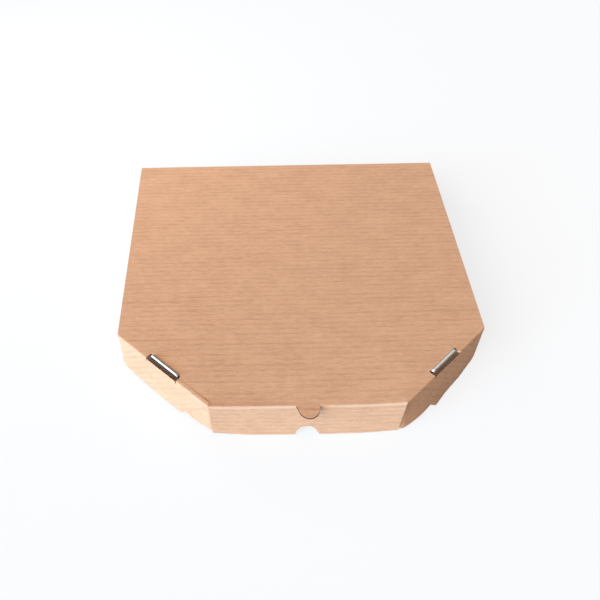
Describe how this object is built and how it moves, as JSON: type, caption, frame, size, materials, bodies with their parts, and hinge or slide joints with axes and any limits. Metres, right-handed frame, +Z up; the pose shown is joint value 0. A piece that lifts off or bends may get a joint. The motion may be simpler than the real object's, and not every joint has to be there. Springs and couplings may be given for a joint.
{
  "type": "pizza box",
  "caption": "Low square folding box of plain brown corrugated board, front corners cut off, hinged lid with flaps outside the tray and a thumb tab.",
  "frame": {"origin": "middle of the base's underside, halfway between the front fold and the back fold", "axes": "+X to the box's right, +Y to its back, +Z up; the front with the thumb tab faces -Y"},
  "size_m": [0.3015, 0.3052, 0.0415],
  "materials": {
    "kraft_board": "matte plain brown corrugated board, ribbed by its flutes, pale grey liner inside"
  },
  "bodies": {
    "tray": {"tray": "kraft_board"},
    "lid": {"lid": "kraft_board"},
    "front_flap": {"front_flap": "kraft_board"},
    "left_corner_flap": {"left_corner_flap": "kraft_board"},
    "right_corner_flap": {"right_corner_flap": "kraft_board"}
  },
  "joints": [
    {"name": "lid_hinge", "type": "hinge", "parent": "tray", "child": "lid", "pos_m": [0, 0.14715, 0.03735], "axis": [-1, 0, 0], "range_deg": [0, 180]},
    {"name": "front_flap_hinge", "type": "hinge", "parent": "lid", "child": "front_flap", "pos_m": [0, -0.147, 0.04], "axis": [-1, 0, 0], "range_deg": [0, 90]},
    {"name": "left_flap_hinge", "type": "hinge", "parent": "lid", "child": "left_corner_flap", "pos_m": [-0.1125, -0.112, 0.04], "axis": [-0.7311, 0.6823, 0], "range_deg": [0, 90]},
    {"name": "right_flap_hinge", "type": "hinge", "parent": "lid", "child": "right_corner_flap", "pos_m": [0.1125, -0.112, 0.04], "axis": [-0.7311, -0.6823, 0], "range_deg": [0, 90]}
  ]
}
